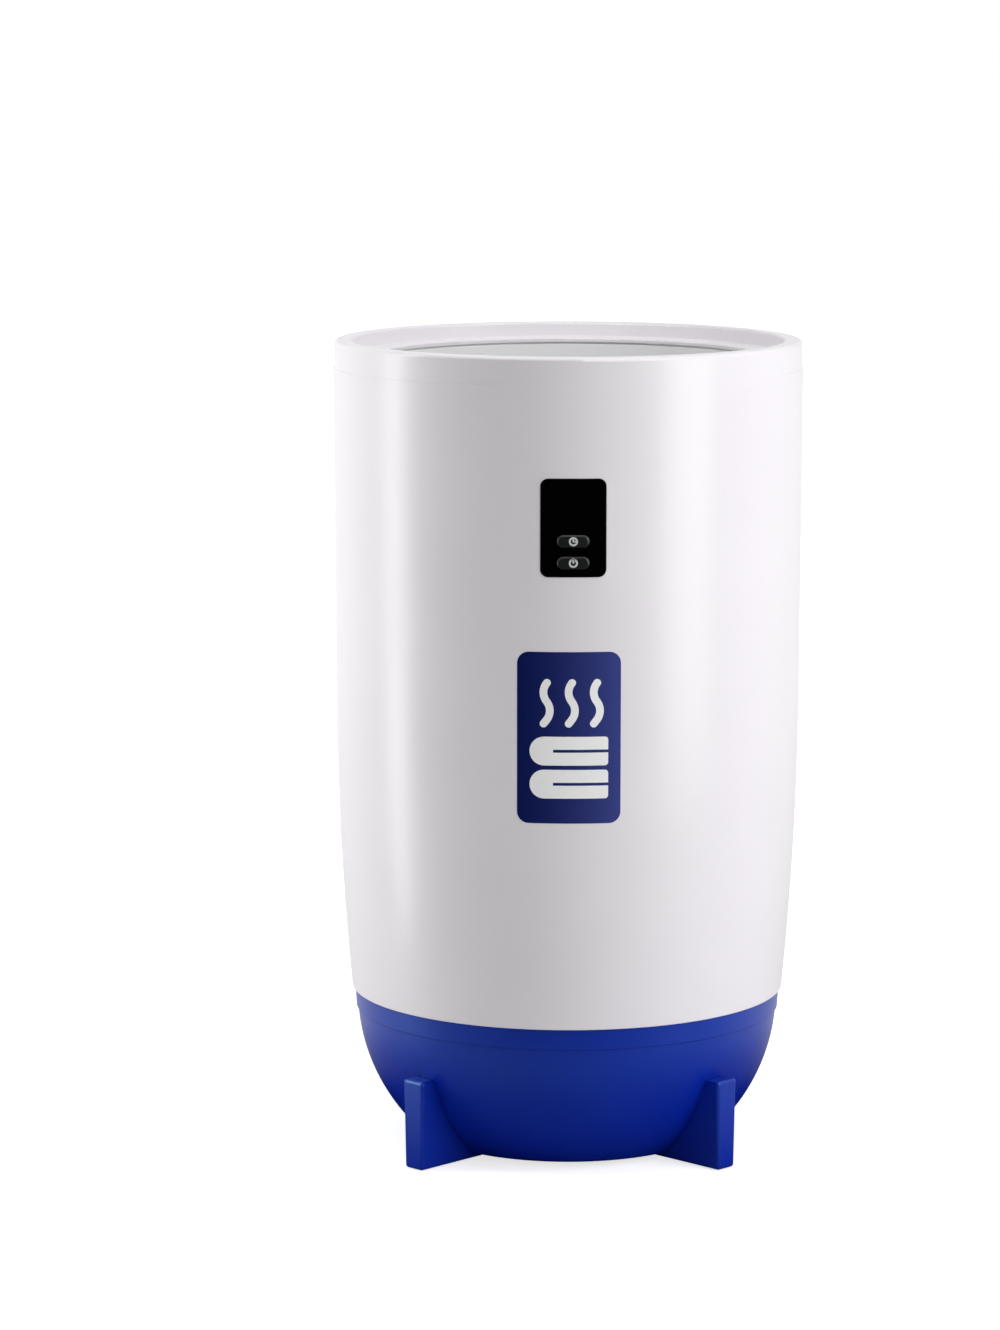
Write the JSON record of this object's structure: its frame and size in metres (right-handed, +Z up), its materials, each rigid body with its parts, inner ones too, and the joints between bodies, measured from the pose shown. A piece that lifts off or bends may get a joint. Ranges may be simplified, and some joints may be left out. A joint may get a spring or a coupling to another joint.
{
  "type": "towel warmer bucket",
  "caption": "Free-standing bucket towel warmer: cylindrical heated chamber, open at the top, on a bowl base with fin legs, a cord gland and a push-button front panel.",
  "frame": {"origin": "on the floor, on the body's upright axis", "axes": "+Z up, -Y out of the front panel, +X to the right seen from the front"},
  "size_m": [0.2915, 0.2926, 0.505],
  "materials": {
    "white_plastic": "satin",
    "navy_plastic": "satin",
    "liner_metal": "pale grey baked enamel",
    "silicone": "matte",
    "screw_steel": "satin",
    "heater_foil": "crinkled foil",
    "brass_clip": "satin",
    "felt": "matte felt",
    "switch_black": "matte",
    "grey_plastic": "matte",
    "rubber_grey": "matte",
    "rubber_black": "matte",
    "panel_black": "gloss",
    "button_grey": "satin",
    "plunger_white": "matte",
    "board_green": "satin",
    "connector_white": "matte",
    "wire_red": "satin",
    "relay_blue": "gloss",
    "core_steel": "satin",
    "can_metal": "gloss sleeve",
    "terminal_green": "matte"
  },
  "bodies": {
    "housing": {"outer_shell": "white_plastic", "top_collar": "white_plastic", "liner": "liner_metal", "liner_gasket": "silicone", "liner_screws": "screw_steel", "heating_wrap": "heater_foil", "heater_clips": "brass_clip", "insulation_sleeve": "felt", "floor_insulation": "felt", "thermostat": "switch_black", "thermal_fuse": "brass_clip", "deck": "grey_plastic", "base_ring": "navy_plastic", "ring_screws": "screw_steel", "base_bowl": "navy_plastic", "bowl_screws": "screw_steel", "leg_rear_right": "navy_plastic", "leg_rear_left": "navy_plastic", "leg_front_left": "navy_plastic", "leg_front_right": "navy_plastic", "leg_screws": "screw_steel", "foot_pads": "rubber_grey", "cord_gland": "rubber_black", "front_panel": "panel_black", "timer_switch": "switch_black", "power_switch": "switch_black", "display_module": "switch_black", "control_board": "board_green", "board_screws": "screw_steel", "control_bracket": "grey_plastic", "bracket_screws": "screw_steel", "control_connector": "connector_white", "harness": "wire_red", "heater_leads": "wire_red", "power_board": "board_green", "power_board_screws": "screw_steel", "relay": "relay_blue", "transformer": "core_steel", "capacitor": "can_metal", "terminal_block": "terminal_green", "power_connector": "connector_white"},
    "timer_button": {"timer_button": "button_grey", "timer_plunger": "plunger_white"},
    "power_button": {"power_button": "button_grey", "power_plunger": "plunger_white"}
  },
  "joints": [
    {"name": "timer_button_press", "type": "slide", "parent": "housing", "child": "timer_button", "axis": [0, 1, 0], "range_m": [0, 0.0006], "stiffness_N_per_m": 2500, "springref_m": -0.0003},
    {"name": "power_button_press", "type": "slide", "parent": "housing", "child": "power_button", "axis": [0, 1, 0], "range_m": [0, 0.0006], "stiffness_N_per_m": 2500, "springref_m": -0.0003}
  ]
}
